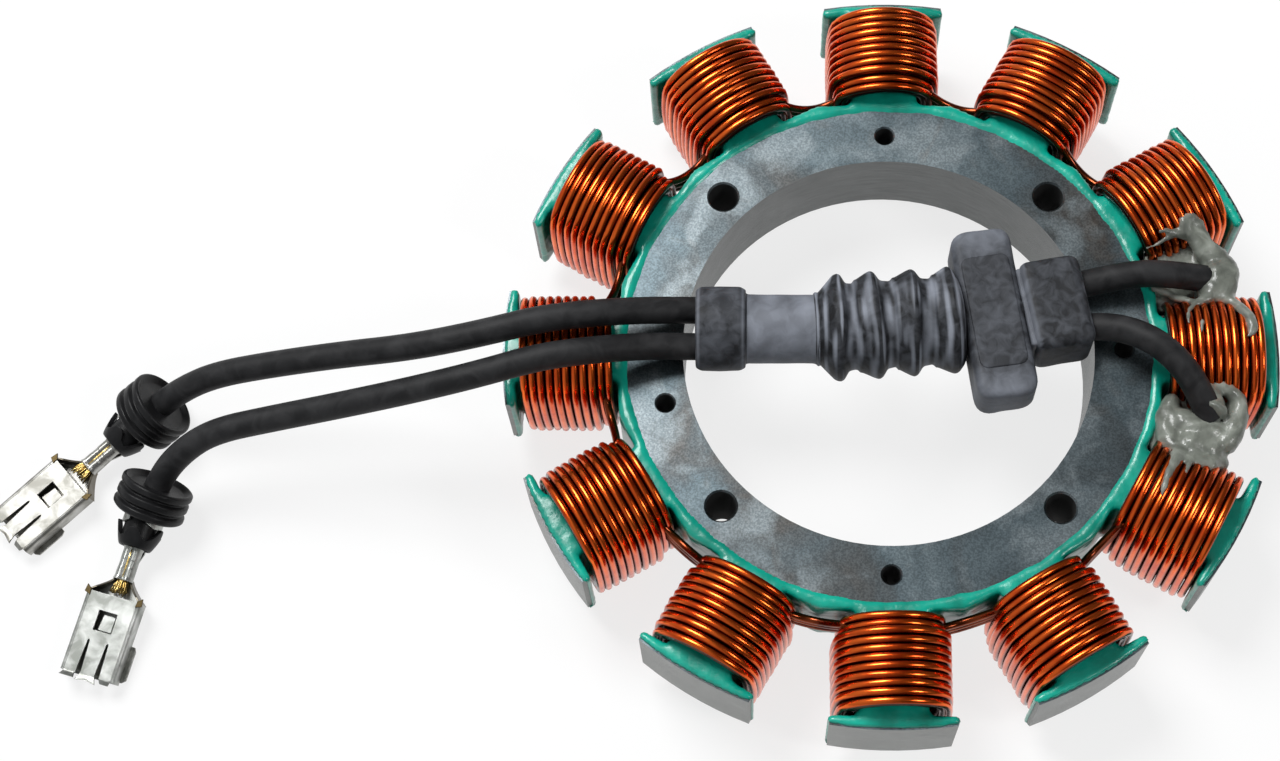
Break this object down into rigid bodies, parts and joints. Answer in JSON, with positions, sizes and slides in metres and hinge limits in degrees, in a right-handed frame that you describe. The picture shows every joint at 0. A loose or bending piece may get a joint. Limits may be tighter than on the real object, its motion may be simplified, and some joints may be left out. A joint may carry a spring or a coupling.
{
  "type": "wound stator",
  "caption": "Wound stator: a ring of coated steel poles with copper coils, and two rubber cords that leave through a boot to box terminals.",
  "frame": {"origin": "on the bore axis, level with the undersides of the coils, on which the stator lies", "axes": "+Z along the bore axis towards the side that the cords cross, +X from the boot's collar towards the slots where the cords end"},
  "size_m": [0.2261, 0.1334, 0.0346],
  "materials": {
    "bare_steel": "mottled bare steel",
    "teal_coat": "glossy resin coat",
    "enamelled_copper": "clear enamel over copper",
    "grey_sealant": "lumpy, half gloss",
    "cord_rubber": "matt",
    "boot_rubber": "scuffed matt",
    "seal_rubber": "satin",
    "bare_strand": "bare strands",
    "tin_sheet": "bright tin",
    "tinned_sleeve": "tinned"
  },
  "bodies": {
    "root": {"lamination_stack": "bare_steel", "insulating_coat": "teal_coat", "winding_01": "enamelled_copper", "winding_02": "enamelled_copper", "winding_03": "enamelled_copper", "winding_04": "enamelled_copper", "winding_05": "enamelled_copper", "winding_06": "enamelled_copper", "winding_07": "enamelled_copper", "winding_08": "enamelled_copper", "winding_09": "enamelled_copper", "winding_10": "enamelled_copper", "winding_11": "enamelled_copper", "winding_12": "enamelled_copper", "coil_jumper_01": "enamelled_copper", "coil_jumper_02": "enamelled_copper", "coil_jumper_03": "enamelled_copper", "coil_jumper_04": "enamelled_copper", "coil_jumper_05": "enamelled_copper", "coil_jumper_06": "enamelled_copper", "coil_jumper_07": "enamelled_copper", "coil_jumper_08": "enamelled_copper", "coil_jumper_09": "enamelled_copper", "coil_jumper_10": "enamelled_copper", "coil_jumper_11": "enamelled_copper", "coil_tail_1": "enamelled_copper", "splice_sleeve_1": "tinned_sleeve", "sealant_1": "grey_sealant", "lead_1": "cord_rubber", "cable_seal_1": "seal_rubber", "conductor_end_1": "bare_strand", "terminal_1": "tin_sheet", "coil_tail_2": "enamelled_copper", "splice_sleeve_2": "tinned_sleeve", "sealant_2": "grey_sealant", "lead_2": "cord_rubber", "cable_seal_2": "seal_rubber", "conductor_end_2": "bare_strand", "terminal_2": "tin_sheet", "boot": "boot_rubber"}
  },
  "joints": []
}
